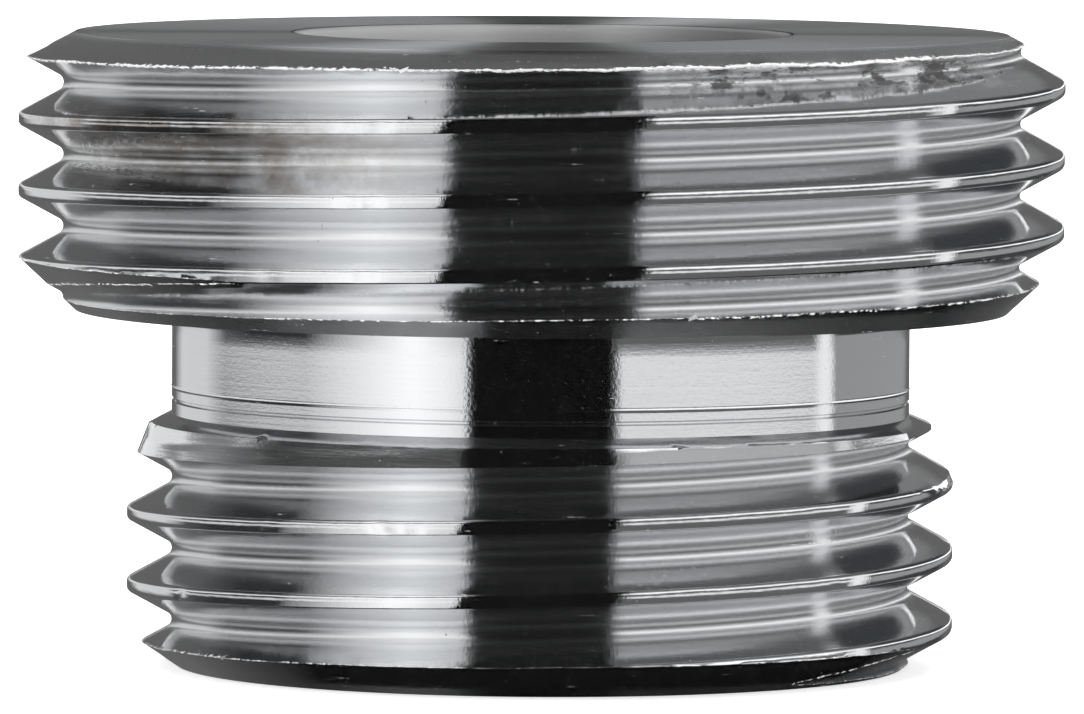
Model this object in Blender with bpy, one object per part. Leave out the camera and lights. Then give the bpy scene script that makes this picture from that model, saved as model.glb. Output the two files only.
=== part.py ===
"""Reducing nipple turned from one piece of bar: a G 3/4 male thread above, a plain neck, and a G 1/2 male thread below.

Metres, +Z up, the thread axis on Z, and the small end face on Z = 0. The named sizes below are in millimetres.
A hexagonal passage through the bore takes the key that screws it in.
"""

import math

import bmesh
import bpy
from mathutils import Matrix

MM = 0.001

# Facets round the axis. Every turned surface and every thread shares them.
SEGMENTS = 60

# Overall heights up the axis.
TOTAL_HEIGHT = 16.0
SHOULDER_Z = 9.0
NECK_BASE_Z = 6.6

# G threads: 14 turns to the inch, 55 degrees between flanks, rounded roots.
PITCH = 25.4 / 14.0
FLANK_HALF_ANGLE = math.radians(27.5)
THREAD_DEPTH = 0.640327 * PITCH
ROOT_RADIUS = 0.137329 * PITCH
CREST_FLAT = 0.2
ROOT_FACETS = 3

# Large thread, G 3/4.
LARGE_MAJOR_R = 26.441 / 2.0
LARGE_PHASE = 0.104
LARGE_FACE_R = 11.8
LARGE_TOP_CHAMFER = 0.75
LARGE_SHOULDER_R = 11.8
LARGE_LOWER_CHAMFER = 1.3

# Small thread, G 1/2.
SMALL_MAJOR_R = 20.955 / 2.0
SMALL_PHASE = 0.614
SMALL_FACE_R = 9.2
SMALL_END_CHAMFER = 0.85
SMALL_TAPER_Z = 4.7
SMALL_TAPER_TOP_R = 9.9
SMALL_TAPER_TOP_Z = 6.0

# Neck between the threads, with the shallow tool groove that starts the small thread and a fillet under the shoulder.
NECK_R = 9.3
GROOVE_R = 9.24
GROOVE_Z = 6.5
GROOVE_HALF_WIDTH = 0.1
FILLET_R = 0.3
FILLET_FACETS = 3

# Waterway, from the top: a round mouth, a hexagonal key passage, and a round bore.
MOUTH_R = 11.9 / 2.0
MOUTH_DEPTH = 1.5
MOUTH_CONE = 0.6
KEY_ACROSS_FLATS = 10.0
BORE_R = 6.0
BORE_DEPTH = 5.0
BORE_CONE = 1.0
COUNTERSINK = 0.35

# A cutter stands this far past the faces it opens, and a cut's corners closer than the weld are one corner.
OVERRUN = 1.0
WELD = 0.001

BODY_COLOUR = (0.78, 0.78, 0.8, 1.0)
BODY_ROUGHNESS = 0.12


def clear_scene():
    """Empties the scene, so that the model starts from nothing."""
    for item in list(bpy.data.objects):
        bpy.data.objects.remove(item, do_unlink=True)


def plated_metal(name):
    """Bright plating over brass."""
    material = bpy.data.materials.new(name)
    material.use_nodes = True
    shader = material.node_tree.nodes["Principled BSDF"]
    shader.inputs["Base Color"].default_value = BODY_COLOUR
    shader.inputs["Metallic"].default_value = 1.0
    shader.inputs["Roughness"].default_value = BODY_ROUGHNESS
    material.diffuse_color = BODY_COLOUR
    return material


def add_object(name, bm):
    """Turns a bmesh into a named object, still in millimetres."""
    bmesh.ops.recalc_face_normals(bm, faces=bm.faces)
    mesh = bpy.data.meshes.new(name)
    bm.to_mesh(mesh)
    bm.free()
    item = bpy.data.objects.new(name, mesh)
    bpy.context.collection.objects.link(item)
    return item


def turned(name, profile):
    """A solid of revolution. The profile is (radius, height) pairs from the axis, out, and back to the axis."""
    bm = bmesh.new()
    chain = [bm.verts.new((radius, 0.0, height)) for radius, height in profile]
    edges = [bm.edges.new(pair) for pair in zip(chain, chain[1:])]
    bmesh.ops.spin(
        bm,
        geom=chain + edges,
        cent=(0.0, 0.0, 0.0),
        axis=(0.0, 0.0, 1.0),
        angle=math.tau,
        steps=SEGMENTS,
    )
    bmesh.ops.remove_doubles(bm, verts=bm.verts, dist=WELD)
    return add_object(name, bm)


def hexagonal_bar(name, across_flats, low, high):
    """A hexagonal bar up the axis, with its corners on the X axis."""
    bm = bmesh.new()
    corner = across_flats / 2.0 / math.cos(math.pi / 6.0)
    ring = []
    for index in range(6):
        angle = index * math.pi / 3.0
        ring.append(bm.verts.new((corner * math.cos(angle), corner * math.sin(angle), low)))
    base = bm.faces.new(ring)
    raised = bmesh.ops.extrude_face_region(bm, geom=[base])["geom"]
    top = [part for part in raised if isinstance(part, bmesh.types.BMVert)]
    bmesh.ops.translate(bm, verts=top, vec=(0.0, 0.0, high - low))
    return add_object(name, bm)


def groove_section(major_r):
    """The thread groove's outline at one angle, as (radius, height from the groove's middle) pairs, from low to high.

    It is the tool's form: a rounded root, two straight flanks, and the relief that leaves a narrow crest land.
    """
    root = major_r - THREAD_DEPTH
    reach = math.pi / 2.0 - FLANK_HALF_ANGLE
    upper = []
    for index in range(ROOT_FACETS // 2 + 1):
        angle = reach * (2 * index + 1) / ROOT_FACETS
        radius = root + ROOT_RADIUS * (1.0 - math.cos(angle))
        upper.append((radius, ROOT_RADIUS * math.sin(angle)))
    shoulder_depth = ROOT_RADIUS * (1.0 - math.sin(FLANK_HALF_ANGLE))
    shoulder = PITCH / 2.0 - ROOT_RADIUS * math.cos(FLANK_HALF_ANGLE)
    upper.append((major_r - shoulder_depth, shoulder))
    slope = (PITCH / 2.0 - CREST_FLAT / 2.0 - shoulder) / shoulder_depth
    past = 0.07
    upper.append((major_r + past, PITCH / 2.0 - CREST_FLAT / 2.0 + slope * past))
    lower = [(radius, -height) for radius, height in reversed(upper)]
    return lower + upper


def thread_cutter(name, major_r, phase, low, high):
    """A right-hand helical bar with the groove's section, from height low to height high.

    A crest crosses the X axis at phase pitches above Z = 0, so the groove's middle crosses half a pitch higher.
    """
    section = groove_section(major_r)
    first = math.floor((low / PITCH - phase - 0.5) * SEGMENTS)
    last = math.ceil((high / PITCH - phase - 0.5) * SEGMENTS)
    bm = bmesh.new()
    previous = None
    for step in range(first, last + 1):
        angle = math.tau * step / SEGMENTS
        middle = (phase + 0.5 + step / SEGMENTS) * PITCH
        ring = []
        for radius, height in section:
            ring.append(bm.verts.new((radius * math.cos(angle), radius * math.sin(angle), middle + height)))
        if previous is None:
            bm.faces.new(ring)
        else:
            for index in range(len(ring)):
                follower = (index + 1) % len(ring)
                bm.faces.new((previous[index], previous[follower], ring[follower], ring[index]))
        previous = ring
    bm.faces.new(previous)
    return add_object(name, bm)


def cut(body, cutter):
    """Takes the cutter away from the body, and keeps the result as the body's own mesh."""
    modifier = body.modifiers.new("cut", "BOOLEAN")
    modifier.operation = "DIFFERENCE"
    modifier.solver = "EXACT"
    modifier.object = cutter
    evaluated = body.evaluated_get(bpy.context.evaluated_depsgraph_get())
    result = bpy.data.meshes.new_from_object(evaluated)
    bm = bmesh.new()
    bm.from_mesh(result)
    bmesh.ops.remove_doubles(bm, verts=bm.verts, dist=WELD)
    bmesh.ops.dissolve_degenerate(bm, edges=bm.edges, dist=WELD)
    bm.to_mesh(result)
    bm.free()
    body.modifiers.clear()
    body.data = result
    bpy.data.objects.remove(cutter, do_unlink=True)


def blank_profile():
    """The outside of the turned blank, from the small end face up to the large end face."""
    profile = [
        (0.0, 0.0),
        (SMALL_FACE_R, 0.0),
        (SMALL_MAJOR_R, SMALL_END_CHAMFER),
        (SMALL_MAJOR_R, SMALL_TAPER_Z),
        (SMALL_TAPER_TOP_R, SMALL_TAPER_TOP_Z),
        (NECK_R, GROOVE_Z - GROOVE_HALF_WIDTH),
        (GROOVE_R, GROOVE_Z),
        (NECK_R, NECK_BASE_Z),
    ]
    for index in range(FILLET_FACETS + 1):
        angle = math.pi / 2.0 * index / FILLET_FACETS
        radius = NECK_R + FILLET_R * (1.0 - math.cos(angle))
        profile.append((radius, SHOULDER_Z - FILLET_R * (1.0 - math.sin(angle))))
    profile += [
        (LARGE_SHOULDER_R, SHOULDER_Z),
        (LARGE_MAJOR_R, SHOULDER_Z + LARGE_LOWER_CHAMFER),
        (LARGE_MAJOR_R, TOTAL_HEIGHT - LARGE_TOP_CHAMFER),
        (LARGE_FACE_R, TOTAL_HEIGHT),
        (0.0, TOTAL_HEIGHT),
    ]
    return profile


def mouth_profile():
    """The round mouth in the large end face, with a countersunk edge and a cone down to the key passage."""
    floor = TOTAL_HEIGHT - MOUTH_DEPTH
    return [
        (0.0, floor - MOUTH_CONE),
        (KEY_ACROSS_FLATS / 2.0 - 0.2, floor - MOUTH_CONE),
        (MOUTH_R, floor),
        (MOUTH_R, TOTAL_HEIGHT - COUNTERSINK / 2.0),
        (MOUTH_R + COUNTERSINK / 2.0 + OVERRUN, TOTAL_HEIGHT + OVERRUN),
        (0.0, TOTAL_HEIGHT + OVERRUN),
    ]


def bore_profile():
    """The round bore from the small end face, with a countersunk edge and a drill-point cone at its head."""
    return [
        (0.0, -OVERRUN),
        (BORE_R + COUNTERSINK + OVERRUN, -OVERRUN),
        (BORE_R, COUNTERSINK),
        (BORE_R, BORE_DEPTH),
        (KEY_ACROSS_FLATS / 2.0 - 0.2, BORE_DEPTH + BORE_CONE),
        (0.0, BORE_DEPTH + BORE_CONE),
    ]


def build():
    clear_scene()
    body = turned("nipple_body", blank_profile())
    small_high = NECK_BASE_Z + PITCH / 2.0
    cut(body, thread_cutter("small_thread_tool", SMALL_MAJOR_R, SMALL_PHASE, -PITCH, small_high))
    large_low = SHOULDER_Z - PITCH
    large_high = TOTAL_HEIGHT + PITCH
    cut(body, thread_cutter("large_thread_tool", LARGE_MAJOR_R, LARGE_PHASE, large_low, large_high))
    cut(body, turned("mouth_tool", mouth_profile()))
    cut(body, turned("bore_tool", bore_profile()))
    key_low = BORE_DEPTH + BORE_CONE / 2.0
    key_high = TOTAL_HEIGHT - MOUTH_DEPTH - MOUTH_CONE / 2.0
    cut(body, hexagonal_bar("key_tool", KEY_ACROSS_FLATS, key_low, key_high))
    body.data.transform(Matrix.Scale(MM, 4))
    body.data.materials.clear()
    body.data.materials.append(plated_metal("bright_plating"))
    body.data.shade_smooth()
    body.data.set_sharp_from_angle(angle=math.radians(20.0))


build()
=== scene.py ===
"""Looks of the chrome-plated reducing nipple: one threaded body, a studio, a floor and a camera."""

import math

import bpy
import numpy as np
from mathutils import Matrix, Vector


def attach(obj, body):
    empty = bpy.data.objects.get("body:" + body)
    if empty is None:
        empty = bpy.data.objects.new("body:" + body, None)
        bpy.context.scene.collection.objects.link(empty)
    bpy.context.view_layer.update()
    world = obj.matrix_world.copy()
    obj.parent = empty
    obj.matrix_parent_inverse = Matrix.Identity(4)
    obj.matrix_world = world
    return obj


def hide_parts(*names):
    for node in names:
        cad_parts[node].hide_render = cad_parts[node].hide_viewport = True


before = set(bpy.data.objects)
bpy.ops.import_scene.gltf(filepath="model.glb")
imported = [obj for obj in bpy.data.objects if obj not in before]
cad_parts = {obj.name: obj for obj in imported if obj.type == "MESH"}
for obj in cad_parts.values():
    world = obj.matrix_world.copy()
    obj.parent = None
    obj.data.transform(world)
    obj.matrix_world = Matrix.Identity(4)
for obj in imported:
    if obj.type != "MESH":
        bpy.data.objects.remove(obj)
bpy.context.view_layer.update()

MM = 0.001
TAU = math.tau

# ---------------------------------------------------------------- sizes in millimetres
# Most are the CAD's. The flank angle, the thread depth, the small crest's radius, the large lower chamfer, the
# taper, the neck, its groove and the mouth's lip differ from it by small amounts, to look like the photo.
TOTAL_HEIGHT = 16.0
SHOULDER_Z = 9.0

# Both threads have one profile: straight flanks, a rounded root, and a crest land with rounded corners.
PITCH = 25.4 / 14.0
FLANK = math.radians(28.6)
HALF_DEPTH = 0.55
THREAD_DEPTH = 1.135
APEX = 0.25 * PITCH / math.tan(FLANK)
ROOT_RADIUS = (APEX + HALF_DEPTH - THREAD_DEPTH) / (1 / math.sin(FLANK) - 1)
CREST_ROUND = 0.16
CREST_LAND = (APEX - HALF_DEPTH) * math.tan(FLANK) - CREST_ROUND * math.tan((math.pi / 2 - FLANK) / 2)

LARGE_R = 26.441 / 2.0
LARGE_PHASE = 0.104
LARGE_FACE_R = 11.8
LARGE_TOP_CHAMFER = 0.75
LARGE_SHOULDER_R = 11.8
LARGE_LOWER_CHAMFER = 1.32
RIM_Z = TOTAL_HEIGHT - 0.006

SMALL_R = 10.455
SMALL_PHASE = 0.614
SMALL_FACE_R = 9.2
SMALL_END_CHAMFER = 0.85
TAPER_Z = 4.7
TAPER_TOP_R = 9.885
TAPER_TOP_Z = 6.165
TAPER_START_Z = 6.38

NECK_R = 9.33
GROOVE_R = 9.26
GROOVE_Z = 6.74
RIDGE_HEIGHT = 0.012
RIDGE_Z = 7.06
FILLET_R = 0.3

MOUTH_R = 5.95
MOUTH_DEPTH = 1.5
MOUTH_CONE = 0.6
MOUTH_LIP = 0.4
KEY_FLATS = 10.0
KEY_INSET = 0.2
BORE_R = 6.0
BORE_DEPTH = 5.0
BORE_CONE = 1.0
COUNTERSINK = 0.35
# The cones that lead from the mouth and the bore into the key passage.
MOUTH_SLOPE = MOUTH_CONE / (MOUTH_R - (KEY_FLATS / 2 - KEY_INSET))
BORE_SLOPE = BORE_CONE / (BORE_R - (KEY_FLATS / 2 - KEY_INSET))

# ---------------------------------------------------------------- how finely the surface is made
COLUMNS = 360
CREST_STEPS = 6
FLANK_STEPS = 3
ROOT_STEPS = 5
EDGE_SEARCHES = 18
SNAP = 0.02
SHARP_DEGREES = 24.0

# ---------------------------------------------------------------- wear in millimetres
LARGE_NICKS = 44
LARGE_NICK_TURNS = list(range(4, 10))
SMALL_NICKS = 26
SMALL_NICK_TURNS = list(range(-1, 2))
NICK_REACH = 0.2
CREST_WANDER = 0.006
CREST_WEAR = 0.004
TEAR = 0.006
RIM_TEAR = 0.004
WORST_TEAR = 0.016
WORST_TEAR_DEGREES = 305
WORST_TEAR_SPREAD = 24
RIM_TEAR_FROM_Z = 14.6
TAPER_BAND = (4.4, 7.0)
TAPER_TEAR_SHARE = 0.1
RING_MARGIN = 0.03
GOLDEN_ANGLE = 2.399


# ---------------------------------------------------------------- thread form
def depth_below_crest(turns):
    """How far the surface lies below the crest, at a height measured in pitches from the crest's middle."""
    height = np.abs((turns + 0.5) % 1.0 - 0.5) * PITCH
    bend = CREST_LAND + CREST_ROUND * math.cos(FLANK)
    drop = CREST_ROUND * (1 - math.sin(FLANK))
    from_root = PITCH / 2 - height
    root_bend = ROOT_RADIUS * math.cos(FLANK)
    past_land = np.maximum(height - CREST_LAND, 0.0)
    corner = CREST_ROUND - np.sqrt(np.maximum(CREST_ROUND**2 - past_land**2, 0.0))
    root = THREAD_DEPTH - ROOT_RADIUS + np.sqrt(np.maximum(ROOT_RADIUS**2 - from_root**2, 0.0))
    flank = drop + (height - bend) / math.tan(FLANK)
    return np.where(height <= bend, corner, np.where(from_root <= root_bend, root, flank))


def row_heights():
    """The heights of one pitch's rows of points, in pitches, close together on the crest and the root."""
    reach = math.pi / 2 - FLANK
    half = []
    for step in range(1, CREST_STEPS + 1):
        half.append(CREST_LAND + CREST_ROUND * math.sin(reach * step / CREST_STEPS))
    bend = half[-1]
    root_bend = PITCH / 2 - ROOT_RADIUS * math.cos(FLANK)
    for step in range(1, FLANK_STEPS + 1):
        half.append(bend + (root_bend - bend) * step / FLANK_STEPS)
    for step in range(ROOT_STEPS - 1, 0, -1):
        half.append(PITCH / 2 - ROOT_RADIUS * math.sin(reach * step / ROOT_STEPS))
    rows = [0.0] + half + [PITCH / 2] + [PITCH - value for value in reversed(half)]
    return np.array(rows) / PITCH


class Surface:
    """Collects rings and threaded zones of points round the axis, and the faces between them."""

    def __init__(self):
        self.points = []
        self.burrs = []
        self.faces = []
        self.angles = np.arange(COLUMNS) * TAU / COLUMNS

    def ring(self, radius, height):
        """One ring of points. Radius and height are numbers or arrays, one value to a column."""
        radius = np.broadcast_to(np.asarray(radius, float), (COLUMNS,))
        height = np.broadcast_to(np.asarray(height, float), (COLUMNS,))
        first = len(self.points)
        for angle, r, z in zip(self.angles, radius, height):
            self.points.append((r * math.cos(angle), r * math.sin(angle), z))
        return np.arange(first, first + COLUMNS)

    def flat(self, radii, height):
        """Rings on one level, at these radii."""
        return [self.ring(radius, height) for radius in radii]

    def wall(self, radius, heights):
        """Rings on one upright wall, at these heights."""
        return [self.ring(radius, height) for height in heights]

    def band(self, upper, lower):
        """Faces between two rings. The outside is on the right, going from the upper ring to the lower."""
        for column in range(COLUMNS):
            after = (column + 1) % COLUMNS
            self.faces.append((upper[column], lower[column], lower[after], upper[after]))

    def bands(self, rings):
        """Faces between each ring and the next."""
        for upper, lower in zip(rings, rings[1:]):
            self.band(upper, lower)


def cut_rows(height, forms):
    """Move the points nearest to each cut onto it, and mark them as edge points.

    The surface is the innermost of the forms. A cut lies between two rows where the innermost form changes,
    and it is found by halving.
    """
    stack = np.stack(forms(height))
    innermost = stack.argmin(axis=0)
    moved = height.copy()
    edge = np.zeros(height.shape, bool)
    lower_form = innermost[:-1]
    upper_form = innermost[1:]

    def difference(values):
        at_lower = np.take_along_axis(values, lower_form[None], 0)[0]
        return at_lower - np.take_along_axis(values, upper_form[None], 0)[0]

    below = height[:-1].copy()
    above = height[1:].copy()
    start = difference(stack[:, :-1])
    for _ in range(EDGE_SEARCHES):
        middle = (below + above) / 2
        same = np.sign(difference(np.stack(forms(middle)))) == np.sign(start)
        below = np.where(same, middle, below)
        above = np.where(same, above, middle)
    crossing = (below + above) / 2

    change = upper_form != lower_form
    nearer_low = (crossing - height[:-1]) < (height[1:] - crossing)
    take_low = change & nearer_low
    take_high = change & ~nearer_low
    moved[:-1][take_low] = crossing[take_low]
    edge[:-1][take_low] = True
    moved[1:][take_high] = crossing[take_high]
    edge[1:][take_high] = True
    return moved, edge


def threaded_zone(surface, top, bottom, low, high, crest_r, phase, cones, nicks):
    """A threaded zone between two rings, with its cut edges and crests worn.

    Its rows climb with the thread. Each cone is a radius, a slope and the height where it has that radius.
    Where a cone cuts the thread, the nearest point of each column is moved onto the cut, so that the edge is
    crisp.
    """
    rows = row_heights()
    per_pitch = len(rows)
    first = math.floor(low / PITCH - phase) - 2
    last = math.ceil(high / PITCH - phase) + 1
    base = np.concatenate([rows + turn for turn in range(first, last)]) + phase
    angles = np.arange(COLUMNS + 1) * TAU / COLUMNS
    height = (base[:, None] + angles[None, :] / TAU) * PITCH

    def forms(z):
        thread = crest_r - depth_below_crest(z / PITCH - angles[None, :] / TAU - phase)
        return [thread] + [radius + slope * (z - at) for radius, slope, at in cones]

    moved, edge = cut_rows(height, forms)
    # A column's last point is the first column's, one pitch up.
    moved[:-per_pitch, -1] = moved[per_pitch:, 0]
    edge[:-per_pitch, -1] = edge[per_pitch:, 0]
    radius = np.stack(forms(moved)).min(axis=0)
    turns = moved / PITCH - angles[None, :] / TAU - phase
    radius, moved = worn(nicks, crest_r, angles[None, :], moved, radius, edge, turns, low, high)

    index = {}

    def point(row, column):
        if height[row, column] <= low + SNAP:
            return bottom[column % COLUMNS]
        if height[row, column] >= high - SNAP:
            return top[column % COLUMNS]
        if column == COLUMNS:
            return point(row + per_pitch, 0)
        key = (row, column)
        if key not in index:
            angle = angles[column]
            r = radius[row, column]
            z = min(max(moved[row, column], low), high)
            index[key] = len(surface.points)
            surface.points.append((r * math.cos(angle), r * math.sin(angle), z))
            if edge[row, column]:
                surface.burrs.append(index[key])
        return index[key]

    for row in range(len(base) - 1):
        if height[row + 1, -1] < low or height[row, 0] > high:
            continue
        for column in range(COLUMNS):
            upper = (point(row + 1, column), point(row, column))
            lower = (point(row, column + 1), point(row + 1, column + 1))
            # Points that were snapped to one ring can be the same one.
            corners = tuple(dict.fromkeys(upper + lower))
            if len(corners) > 2:
                surface.faces.append(corners)


# ---------------------------------------------------------------- wear
def periodic_noise(seed, lowest, highest, tilt):
    """A smooth function of the angle that closes on itself, about 1 in size."""
    rng = np.random.RandomState(seed)
    waves = np.arange(lowest, highest)
    size = rng.normal(size=len(waves)) / (waves / lowest) ** tilt
    start = rng.uniform(0, TAU, len(waves))
    norm = math.sqrt((size**2).sum() / 2)

    def value(angle):
        total = np.zeros(angle.shape)
        for wave, amount, offset in zip(waves, size, start):
            total += amount * np.sin(wave * angle + offset)
        return total / norm

    return value


ragged_height = periodic_noise(11, 9, 150, 0.75)
ragged_radius = periodic_noise(12, 14, 170, 0.7)
crest_wear = periodic_noise(13, 5, 60, 0.8)
crest_wander = periodic_noise(14, 3, 24, 0.8)
nick_rng = np.random.RandomState(21)


def make_nicks(count, crest_turns):
    """Small dents in the crests: each has an angle, a turn, a half width, a depth and a skew."""
    found = []
    for _ in range(count):
        found.append(
            (
                nick_rng.uniform(0, TAU),
                nick_rng.choice(crest_turns),
                nick_rng.uniform(0.05, 0.2),
                nick_rng.uniform(0.015, 0.05),
                nick_rng.uniform(-0.25, 0.25),
            )
        )
    return found


def worn(nicks, crest_r, angle, height, radius, edge, turns, low, high):
    """The radius and height of a threaded zone's points after wear."""
    angle = np.broadcast_to(angle, height.shape)
    turn = np.rint(turns)
    offset = (turns - turn) * PITCH
    near_crest = np.exp(-((offset / NICK_REACH) ** 2))
    out_radius = radius.copy()
    out_height = height.copy()
    for at, which, width, deep, skew in nicks:
        arc = np.angle(np.exp(1j * (angle - at))) * crest_r
        hit = np.exp(-(((arc - skew * offset * 3) / width) ** 2)) * (turn == which)
        out_radius -= deep * hit * near_crest

    # Each turn's noise is shifted, so that no two turns are worn alike.
    long_angle = angle + turn * GOLDEN_ANGLE
    uncut_crest = near_crest * ~edge
    out_height += CREST_WANDER * uncut_crest * crest_wander(long_angle) * np.sign(offset)
    out_radius -= CREST_WEAR * uncut_crest * np.abs(crest_wear(long_angle))

    # Cut edges are ragged, most of all along the large end's rim.
    cut = edge & (height > low + RING_MARGIN) & (height < high - RING_MARGIN)
    at_rim = height > RIM_TEAR_FROM_Z
    near_worst = np.exp(-(((np.degrees(angle) - WORST_TEAR_DEGREES) / WORST_TEAR_SPREAD) ** 2))
    torn = TEAR + WORST_TEAR * at_rim * near_worst + RIM_TEAR * at_rim
    on_taper = (height > TAPER_BAND[0]) & (height < TAPER_BAND[1])
    torn = torn * np.where(on_taper, TAPER_TEAR_SHARE, 1.0)
    out_height += np.where(cut, torn * ragged_height(long_angle), 0.0)
    out_radius += np.where(cut, 0.8 * torn * ragged_radius(long_angle), 0.0)
    return out_radius, out_height


# ---------------------------------------------------------------- body
def fillet(from_r, from_z, radius, steps):
    """A hollow corner that turns from a wall going up into a ceiling going out, from the top down."""
    found = []
    for step in range(steps + 1):
        angle = math.pi / 2 * (1 - step / steps)
        found.append((from_r + radius * (1 - math.cos(angle)), from_z - radius * (1 - math.sin(angle))))
    return found


def mouth_and_top_face(s, hexagon, key_top):
    """The rings from the key passage out over the mouth and the large end face, and the face's rim."""
    floor_z = TOTAL_HEIGHT - MOUTH_DEPTH
    share = 0.3
    radius = hexagon * share + MOUTH_R * (1 - share)
    part_way = s.ring(radius, floor_z - (MOUTH_R - hexagon) * MOUTH_SLOPE * share)
    rings = [key_top, part_way, s.ring(MOUTH_R, floor_z)]
    for share in (0.03, 0.3, 0.6, 0.9):
        rings.append(s.ring(MOUTH_R, floor_z + share * (MOUTH_DEPTH - 0.45)))
    lip_steps = 4
    for step in range(lip_steps + 1):
        angle = math.pi / 2 * step / lip_steps
        radius = MOUTH_R + MOUTH_LIP * (1 - math.cos(angle))
        rings.append(s.ring(radius, TOTAL_HEIGHT - MOUTH_LIP * (1 - math.sin(angle))))
    rings += s.flat((6.3, 7.0, 8.0, 9.0, 10.0, 11.0, 11.6, 11.8), TOTAL_HEIGHT)
    rim = s.ring(LARGE_FACE_R, RIM_Z)
    s.bands(rings + [rim])
    return rim


def head(s, rim):
    """The large thread, from the end face's rim to the shoulder's edge."""
    shoulder_edge = s.ring(LARGE_SHOULDER_R, SHOULDER_Z)
    top_slope = (LARGE_R - LARGE_FACE_R) / LARGE_TOP_CHAMFER
    low_slope = (LARGE_R - LARGE_SHOULDER_R) / LARGE_LOWER_CHAMFER
    cones = [(LARGE_FACE_R, -top_slope, RIM_Z), (LARGE_SHOULDER_R, low_slope, SHOULDER_Z)]
    nicks = make_nicks(LARGE_NICKS, LARGE_NICK_TURNS)
    threaded_zone(s, rim, shoulder_edge, SHOULDER_Z, RIM_Z, LARGE_R, LARGE_PHASE, cones, nicks)
    return shoulder_edge


def shoulder_and_neck(s, shoulder_edge):
    """The shoulder, the fillet, and the neck with its fine ridge and tool groove, down to the taper."""
    rings = [shoulder_edge] + s.flat((11.7, 11.0, 10.3), SHOULDER_Z)
    rings += [s.ring(radius, height) for radius, height in fillet(NECK_R, SHOULDER_Z, FILLET_R, 6)]
    rings += s.wall(NECK_R, (8.3, 7.9, 7.5, RIDGE_Z + 0.08, RIDGE_Z + 0.03))
    rings.append(s.ring(NECK_R + RIDGE_HEIGHT, RIDGE_Z))
    rings += s.wall(NECK_R, (RIDGE_Z - 0.03, RIDGE_Z - 0.07, GROOVE_Z + 0.1, GROOVE_Z + 0.06))
    rings += s.wall(GROOVE_R, (GROOVE_Z + 0.02, GROOVE_Z - 0.02))
    rings += s.wall(NECK_R, (GROOVE_Z - 0.06, GROOVE_Z - 0.1, TAPER_START_Z + 0.06, TAPER_START_Z))
    s.bands(rings)
    return rings[-1]


def small_end(s, taper_start):
    """The small thread, from the neck to the small end face's edge."""
    end_edge = s.ring(SMALL_FACE_R, 0.0)
    steep = (TAPER_TOP_R - NECK_R) / (TAPER_TOP_Z - TAPER_START_Z)
    shallow = (SMALL_R - TAPER_TOP_R) / (TAPER_Z - TAPER_TOP_Z)
    end_slope = (SMALL_R - SMALL_FACE_R) / SMALL_END_CHAMFER
    cones = [
        (NECK_R, steep, TAPER_START_Z),
        (TAPER_TOP_R, shallow, TAPER_TOP_Z),
        (SMALL_FACE_R, end_slope, 0.0),
    ]
    nicks = make_nicks(SMALL_NICKS, SMALL_NICK_TURNS)
    threaded_zone(s, taper_start, end_edge, 0.0, TAPER_START_Z, SMALL_R, SMALL_PHASE, cones, nicks)
    return end_edge


def end_face_and_bore(s, end_edge, hexagon, key_top):
    """The small end face, the bore, and the key passage back up to the mouth."""
    rings = [end_edge] + s.flat((8.5, 7.8, 7.0, 6.5, BORE_R + COUNTERSINK), 0.0)
    rings += s.wall(BORE_R, (COUNTERSINK, 1.5, 3.0, 4.2, BORE_DEPTH))
    for share in (0.5, 1.0):
        radius = hexagon * share + BORE_R * (1 - share)
        rings.append(s.ring(radius, BORE_DEPTH + (BORE_R - hexagon) * BORE_SLOPE * share))
    rings += s.wall(hexagon, (7.0, 8.5, 10.0, 11.5, 13.0))
    s.bands(rings + [key_top])


def turned_body():
    """The whole body as one closed surface, from the key passage up over the head and down to it again."""
    s = Surface()
    hexagon = KEY_FLATS / 2 / np.cos(s.angles % (math.pi / 3) - math.pi / 6)
    key_top = s.ring(hexagon, TOTAL_HEIGHT - MOUTH_DEPTH - (MOUTH_R - hexagon) * MOUTH_SLOPE)
    rim = mouth_and_top_face(s, hexagon, key_top)
    shoulder_edge = head(s, rim)
    taper_start = shoulder_and_neck(s, shoulder_edge)
    end_edge = small_end(s, taper_start)
    end_face_and_bore(s, end_edge, hexagon, key_top)
    return s


def to_object(name, surface):
    """The surface as a mesh object, with its torn edges marked by the point attribute burr."""
    mesh = bpy.data.meshes.new(name)
    mesh.from_pydata([Vector(place) * MM for place in surface.points], [], surface.faces)
    mesh.validate()
    mesh.update()
    mesh.shade_smooth()
    mesh.set_sharp_from_angle(angle=math.radians(SHARP_DEGREES))
    burr = mesh.attributes.new("burr", "FLOAT", "POINT")
    for place in surface.burrs:
        burr.data[place].value = 1.0
    item = bpy.data.objects.new(name, mesh)
    bpy.context.collection.objects.link(item)
    return item


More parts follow.
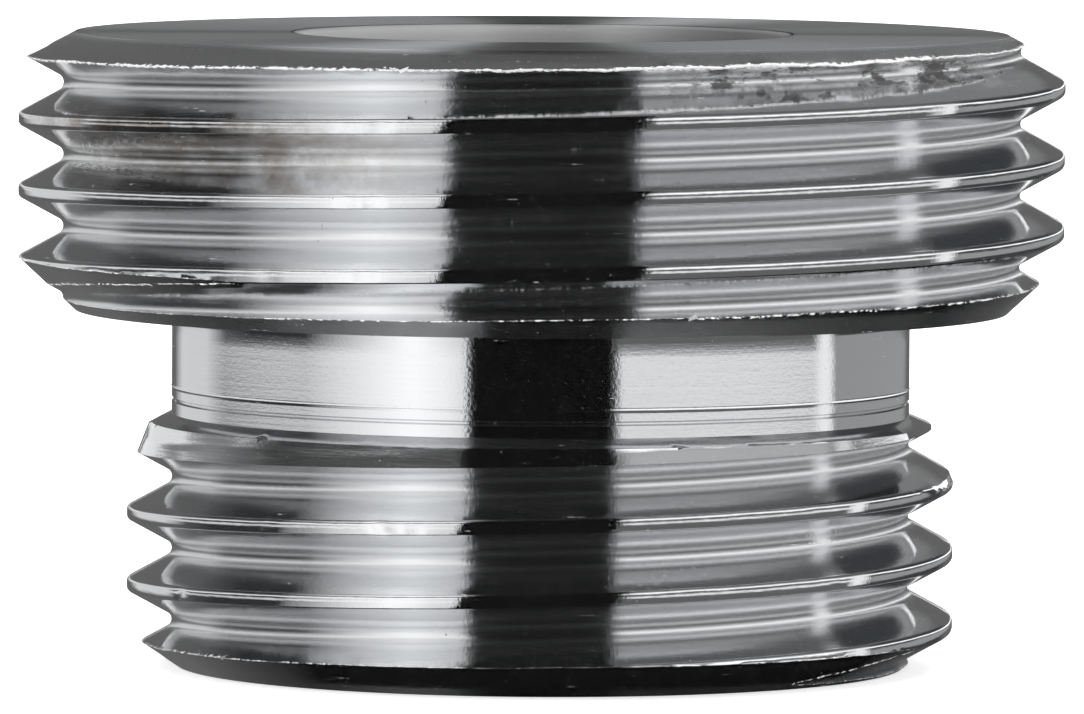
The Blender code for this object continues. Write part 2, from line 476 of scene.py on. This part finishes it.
# ---------------------------------------------------------------- node helpers
class Nodes:
    """Short names for building node trees."""

    def __init__(self, tree):
        self.tree = tree

    def add(self, kind, **settings):
        node = self.tree.nodes.new(kind)
        for key, value in settings.items():
            setattr(node, key, value)
        return node

    def join(self, source, target):
        self.tree.links.new(source, target)

    def split(self, vector):
        """The X, Y and Z of a vector."""
        node = self.add("ShaderNodeSeparateXYZ")
        self.join(vector, node.inputs[0])
        return node.outputs

    def math(self, operation, a, b=None, c=None, clamp=False):
        node = self.add("ShaderNodeMath", operation=operation, use_clamp=clamp)
        for slot, value in enumerate((a, b, c)):
            if value is None:
                continue
            if isinstance(value, (int, float)):
                node.inputs[slot].default_value = value
            else:
                self.join(value, node.inputs[slot])
        return node.outputs[0]

    def both(self, a, b):
        """The product of two masks."""
        return self.math("MULTIPLY", a, b)

    def length(self, a, b):
        """The length of a flat vector."""
        return self.math("SQRT", self.math("ADD", self.both(a, a), self.both(b, b)))

    def window(self, value, start, end, soft):
        """1 between start and end, falling to 0 outside over the soft distance."""
        up = self.math("MULTIPLY_ADD", value, 1 / soft, -start / soft + 0.5, clamp=True)
        down = self.math("MULTIPLY_ADD", value, -1 / soft, end / soft + 0.5, clamp=True)
        return self.both(up, down)

    def step(self, value, start, end):
        """0 at start, and 1 at end and past it."""
        return self.math("MULTIPLY_ADD", value, 1 / (end - start), -start / (end - start), clamp=True)

    def mix(self, amount, first, second):
        """A colour between two, each of them a socket or three numbers."""
        node = self.add("ShaderNodeMix", data_type="RGBA")
        self.join(amount, node.inputs[0])
        for slot, value in ((6, first), (7, second)):
            if isinstance(value, tuple):
                node.inputs[slot].default_value = (*value, 1.0)
            else:
                self.join(value, node.inputs[slot])
        return node.outputs[2]


# ---------------------------------------------------------------- material
CHROME_DARK = (0.76, 0.765, 0.775)
CHROME_LIGHT = (0.82, 0.825, 0.835)
STAIN = (0.22, 0.165, 0.12)
DARK_MARK_COLOUR = (0.03, 0.028, 0.026)
# The bore's two greys are painted light and painted shade, for its left and its right side.
BORE_PAINTED_LIT = (0.62, 0.62, 0.62)
BORE_PAINTED_SHADE = (0.2, 0.2, 0.2)
# White for the specks, and for the torn edges, where it is a painted glint.
SPECK_AND_GLINT_WHITE = (0.85, 0.85, 0.85)
METALLIC = 0.993
ROUGHNESS = 0.075
BUMP_DISTANCE = 2.2e-6
ALL_ABOVE = 17.0
ALL_BELOW = -1.0


class TurnedNodes(Nodes):
    """Nodes that know a place by its radius and height in millimetres, and its angle from the front."""

    def __init__(self, tree):
        super().__init__(tree)
        x, y, z = self.split(self.add("ShaderNodeTexCoord").outputs["Object"])
        self.side = self.math("MULTIPLY", x, 1 / MM)
        self.radius = self.math("MULTIPLY", self.length(x, y), 1 / MM)
        self.height = self.math("MULTIPLY", z, 1 / MM)
        self.turn = self.math("ARCTAN2", x, self.math("MULTIPLY", y, -1.0))
        self.degrees = self.math("MULTIPLY", self.turn, 180 / math.pi)

    def noise(self, across, along, detail, rough, shift):
        """Noise on the surface: across is its scale per radian of turn, along its scale per millimetre."""
        place = self.add("ShaderNodeCombineXYZ")
        self.join(self.math("MULTIPLY_ADD", self.turn, across, shift), place.inputs[0])
        self.join(self.math("MULTIPLY", self.height, along), place.inputs[1])
        self.join(self.math("MULTIPLY", self.radius, along), place.inputs[2])
        texture = self.add("ShaderNodeTexNoise")
        self.join(place.outputs[0], texture.inputs["Vector"])
        texture.inputs["Scale"].default_value = 1.0
        texture.inputs["Detail"].default_value = detail
        texture.inputs["Roughness"].default_value = rough
        return texture.outputs["Fac"]

    def patch(self, low, high, soft, left, right, side_soft):
        """A mask over a stretch of heights and of degrees."""
        return self.both(
            self.window(self.height, low, high, soft),
            self.window(self.degrees, left, right, side_soft),
        )


def burr_glint_mask(n, patches):
    """Torn metal along the cut edges, painted white as a glint (a painted highlight), broken up by noise, and
    most of it along the large end's rim.
    """
    near_rim = n.step(n.height, 14.0, RIM_TEAR_FROM_Z)
    amount = n.math("MULTIPLY_ADD", near_rim, n.math("MULTIPLY", patches, 0.26), 0.4)
    amount = n.math("MULTIPLY_ADD", n.window(n.height, 4.0, 7.0, 0.3), -0.24, amount)
    # A painted highlight: more white along the rim at its right.
    amount = n.math("MULTIPLY_ADD", n.patch(RIM_TEAR_FROM_Z, ALL_ABOVE, 0.2, 8, 62, 10), 0.14, amount)
    torn = n.math("MULTIPLY_ADD", n.noise(90.0, 9.0, 4.0, 0.75, 53.0), 1.7, -0.35)
    edge = n.add("ShaderNodeAttribute", attribute_name="burr").outputs["Fac"]
    return n.step(n.both(edge, n.math("ADD", torn, amount)), 0.84, 0.92)


def plating_roughness(n, threads, streaks, bore):
    """Smoothest on the crests, duller in the thinly plated roots, and satin on the end face and bore."""
    on_small = n.window(n.height, ALL_BELOW, GROOVE_Z, 0.1)
    small_crest = n.both(on_small, n.step(n.radius, SMALL_R - 0.1, SMALL_R - 0.04))
    crest = n.math("MAXIMUM", n.step(n.radius, LARGE_R - 0.1, LARGE_R - 0.04), small_crest)
    large_root = n.both(
        n.step(n.height, SHOULDER_Z - 0.1, SHOULDER_Z),
        n.step(n.radius, LARGE_R - 0.82, LARGE_R - 1.02),
    )
    small_root = n.both(n.step(n.height, 6.1, 5.9), n.step(n.radius, SMALL_R - 0.82, SMALL_R - 1.02))
    face = n.step(n.height, TOTAL_HEIGHT - 0.12, TOTAL_HEIGHT - 0.03)
    changes = (
        (crest, -0.01),
        (n.math("ADD", large_root, small_root), 0.13),
        (n.math("SUBTRACT", streaks, 0.5), 0.04),
        (face, 0.22),
        (bore, 0.3),
    )
    rough = n.math("MULTIPLY_ADD", threads, -0.015, ROUGHNESS)
    for mask, change in changes:
        rough = n.math("MULTIPLY_ADD", mask, change, rough)
    return rough


def dark_marks(n, fine, grain, patches):
    """Soot at the left edge of a crest, blots at the upper right, and pits all over."""
    soot = n.both(n.patch(12.66, 12.86, 0.08, -76.0, -50.0, 10.0), n.step(fine, 0.42, 0.56))
    broken = n.step(n.math("ADD", patches, n.math("MULTIPLY", fine, 0.35)), 0.68, 0.76)
    # The blots are black patches, broken up by noise, at the upper right just under the rim.
    blots = n.both(n.patch(15.0, 15.7, 0.2, 16.0, 64.0, 8.0), broken)
    pits = n.step(grain, 0.75, 0.78)
    return n.math("MAXIMUM", n.math("MAXIMUM", soot, blots), pits)


def bright_flecks(n, fine):
    """Small bright specks, and short drags of the tool."""
    flecks = n.step(n.noise(240.0, 18.0, 2.0, 0.6, 71.0), 0.725, 0.75)
    drags = n.step(n.noise(5.0, 14.0, 2.0, 0.5, 41.0), 0.7, 0.76)
    return n.math("MAXIMUM", flecks, n.both(drags, n.step(fine, 0.55, 0.62)))


def chrome():
    """Bright plate over turned brass: tool marks, a satin face and bore, specks, stains and burrs, with a
    painted white glint on the burrs and painted light and shade in the bore.
    """
    material = bpy.data.materials.new("bright_chrome")
    material.use_nodes = True
    n = TurnedNodes(material.node_tree)
    shader = n.tree.nodes["Principled BSDF"]
    streaks = n.noise(2.2, 9.0, 4.0, 0.65, 3.0)
    fine = n.noise(60.0, 22.0, 3.0, 0.6, 11.0)
    grain = n.noise(110.0, 9.0, 2.0, 0.6, 23.0)
    patches = n.noise(14.0, 1.6, 4.0, 0.6, 31.0)

    bore = n.step(n.radius, 6.3, 6.1)
    large_thread = n.window(n.height, SHOULDER_Z - 0.1, ALL_ABOVE, 0.1)
    threads = n.math("ADD", large_thread, n.window(n.height, ALL_BELOW, TAPER_Z + 0.4, 0.4))
    stain = n.both(n.patch(13.0, 14.3, 0.5, -72.0, -22.0, 24.0), n.step(patches, 0.3, 0.6))
    dark = dark_marks(n, fine, grain, patches)
    white = n.math("MAXIMUM", n.math("MULTIPLY", bright_flecks(n, fine), 0.7), burr_glint_mask(n, patches))

    colour = n.mix(streaks, CHROME_DARK, CHROME_LIGHT)
    colour = n.mix(n.math("MULTIPLY", stain, 0.62), colour, STAIN)
    colour = n.mix(n.math("MULTIPLY", dark, 0.9), colour, DARK_MARK_COLOUR)
    # The bore is painted lighter at the left and darker at the right: painted light and shade.
    colour = n.mix(bore, colour, n.mix(n.step(n.side, -1.0, 5.0), BORE_PAINTED_LIT, BORE_PAINTED_SHADE))
    # Specks are white, and the torn edges are painted white as a painted highlight.
    colour = n.mix(white, colour, SPECK_AND_GLINT_WHITE)
    n.join(colour, shader.inputs["Base Color"])

    dull = n.math("MAXIMUM", white, n.math("MULTIPLY", dark, 0.7))
    metal = n.math("MULTIPLY_ADD", dull, -METALLIC, METALLIC, clamp=True)
    n.join(n.math("MULTIPLY_ADD", bore, -0.5, metal, clamp=True), shader.inputs["Metallic"])
    rough = plating_roughness(n, threads, streaks, bore)
    n.join(n.math("MAXIMUM", rough, n.math("MULTIPLY", white, 0.6)), shader.inputs["Roughness"])

    # Circular tool marks spread a reflection across them, along the axis.
    shader.inputs["Anisotropic"].default_value = 1.0
    shader.inputs["Anisotropic Rotation"].default_value = 0.25
    tangent = n.add("ShaderNodeTangent", direction_type="RADIAL", axis="Z")
    n.join(tangent.outputs[0], shader.inputs["Tangent"])

    relief = n.math("MULTIPLY_ADD", grain, 0.6, n.math("MULTIPLY", fine, 0.3))
    relief = n.math("MULTIPLY_ADD", streaks, 0.5, relief)
    chatter = n.math("MULTIPLY_ADD", threads, 0.15, 0.15)
    relief = n.math("MULTIPLY_ADD", n.noise(26.0, 22.0, 2.0, 0.5, 83.0), chatter, relief)
    bump = n.add("ShaderNodeBump")
    bump.inputs["Strength"].default_value = 1.0
    bump.inputs["Distance"].default_value = BUMP_DISTANCE
    n.join(relief, bump.inputs["Height"])
    n.join(bump.outputs[0], shader.inputs["Normal"])
    return material


body = to_object("turned_body", turned_body())
body.data.materials.append(chrome())
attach(body, "root")
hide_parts("nipple_body")

# ---------------------------------------------------------------- studio
WHITE = (0.99, 1.0, 1.005)
COOL = (0.93, 1.0, 1.07)
CLOTH = (0.13, 0.13, 0.13)
ROOM_LIGHT = 1.25


def panel(turn, rise, soft, level, tint=WHITE):
    """A panel of the light tent: its reach in turn and rise, how soft its edges are, and its brightness."""
    return {"turn": turn, "rise": rise, "soft": soft, "colour": tuple(level * part for part in tint)}


# Each panel hides what the ones before it show. All angles are in degrees.
PANELS = (
    # Dark flags beside the lights, which give the thread its contrast.
    panel((-57, -33), (-85, 80), (12, 10), 0.03, COOL),
    panel((52, 76), (-85, 80), (4, 10), 0.05, COOL),
    # A low white board all round, at the height that upright walls mirror.
    panel((-90, -12), (-7, 0), (6, 5), 0.85),
    panel((12, 52), (-7, 0), (1, 5), 1.05),
    panel((52, 90), (-22, 0), (2, 5), 0.34),
    # The light above the board, which the crests mirror.
    panel((-90, -10), (10, 31), (20, 4), 0.95),
    panel((10, 90), (10, 33), (6, 4), 1.3),
    # A tall soft box to the left of the gap, a card at the far left and a thin strip at the right.
    panel((-30, -10), (-75, 80), (18, 10), 1.2),
    panel((-78, -61), (-24, 24), (6, 10), 0.72),
    panel((48, 51.5), (-40, 40), (2, 20), 1.0),
    # The walls above that light: dark at the left, grey at the right and behind.
    panel((-90, -40), (33, 48), (10, 3), 0.2),
    panel((-48, 10), (34, 45), (12, 3), 0.02),
    panel((12, 47), (35.5, 48), (3, 3), 0.5),
    panel((12, 85), (100, 122), (8, 6), 0.22),
    # Black cloth under the part, a black edge high up behind it, and the dark gap at the front.
    panel((-50, 70), (-150, -86), (30, 6), 0.0),
    panel((-45, 45), (129, 139), (20, 6), 0.02),
    panel((-11.2, 11.2), (-180, 88), (1, 10), 0.0),
)


def studio_world():
    """A world that is plain white to all but glossy rays, and to those a dome of grey cloth with the panels.

    A place on the dome is given by turn, each way from the front, and by rise, up or down. Its seams run
    straight up and down over the front, and all meet at the back.
    """
    world = bpy.data.worlds.new("studio")
    bpy.context.scene.world = world
    world.use_nodes = True
    world.cycles.sampling_method = "NONE"
    world.node_tree.nodes.clear()
    n = Nodes(world.node_tree)
    x, y, z = n.split(n.add("ShaderNodeTexCoord").outputs["Generated"])
    back = n.math("SUBTRACT", 1.0, y)
    turn = n.math("MULTIPLY", n.math("ARCTAN2", x, back), 180 / math.pi)
    rise = n.math("MULTIPLY", n.math("ARCTAN2", z, n.length(x, back)), 360 / math.pi)

    dome = CLOTH
    for item in PANELS:
        across = n.window(turn, *item["turn"], item["soft"][0])
        upward = n.window(rise, *item["rise"], item["soft"][1])
        dome = n.mix(n.both(across, upward), dome, item["colour"])

    metal = n.add("ShaderNodeBackground")
    n.join(dome, metal.inputs["Color"])
    room = n.add("ShaderNodeBackground")
    room.inputs["Color"].default_value = (1.0, 1.0, 1.0, 1.0)
    room.inputs["Strength"].default_value = ROOM_LIGHT
    choose = n.add("ShaderNodeMixShader")
    n.join(n.add("ShaderNodeLightPath").outputs["Is Glossy Ray"], choose.inputs[0])
    n.join(room.outputs[0], choose.inputs[1])
    n.join(metal.outputs[0], choose.inputs[2])
    out = n.add("ShaderNodeOutputWorld")
    n.join(choose.outputs[0], out.inputs["Surface"])


studio_world()

# ---------------------------------------------------------------- floor
FLOOR_REACH = 6.0
FLOOR_GAP = 0.00002
FLOOR_GLOW = 0.55

floor_mesh = bpy.data.meshes.new("floor")
floor_corners = [(x * FLOOR_REACH, y * FLOOR_REACH, 0) for x, y in ((-1, -1), (1, -1), (1, 1), (-1, 1))]
floor_mesh.from_pydata(floor_corners, [], [(0, 1, 2, 3)])
floor = bpy.data.objects.new("floor", floor_mesh)
bpy.context.collection.objects.link(floor)
floor.location.z = -FLOOR_GAP
pale = bpy.data.materials.new("pale_floor")
pale.use_nodes = True
pale_inputs = pale.node_tree.nodes["Principled BSDF"].inputs
pale_inputs["Base Color"].default_value = (0.97, 0.97, 0.97, 1.0)
pale_inputs["Roughness"].default_value = 1.0
pale_inputs["Specular IOR Level"].default_value = 0.0
pale_inputs["Emission Color"].default_value = (1.0, 1.0, 1.0, 1.0)
pale_inputs["Emission Strength"].default_value = FLOOR_GLOW
floor_mesh.materials.append(pale)
floor.visible_glossy = False

# ---------------------------------------------------------------- camera
CAMERA_AT = (0.0, -310.04, 27.69)
CAMERA_DOWN = math.radians(-3.672)
CAMERA_TURN = math.radians(0.006)
CAMERA_ROLL = math.radians(-0.312)
CAMERA_FOCAL = 407.74

camera_data = bpy.data.cameras.new("camera")
camera_data.sensor_width = 36.0
camera_data.lens = CAMERA_FOCAL
camera_data.clip_start = 0.01
camera_data.clip_end = 50.0
camera = bpy.data.objects.new("camera", camera_data)
bpy.context.collection.objects.link(camera)
forward = Vector(
    (
        math.sin(CAMERA_TURN) * math.cos(CAMERA_DOWN),
        math.cos(CAMERA_TURN) * math.cos(CAMERA_DOWN),
        math.sin(CAMERA_DOWN),
    )
)
level_right = Vector((math.cos(CAMERA_TURN), -math.sin(CAMERA_TURN), 0.0))
level_up = level_right.cross(forward)
right = level_right * math.cos(CAMERA_ROLL) - level_up * math.sin(CAMERA_ROLL)
up = level_right * math.sin(CAMERA_ROLL) + level_up * math.cos(CAMERA_ROLL)
pose = Matrix((right, up, -forward)).transposed().to_4x4()
pose.translation = Vector(CAMERA_AT) * MM
camera.matrix_world = pose
bpy.context.scene.camera = camera
bpy.context.scene.view_settings.view_transform = "Standard"
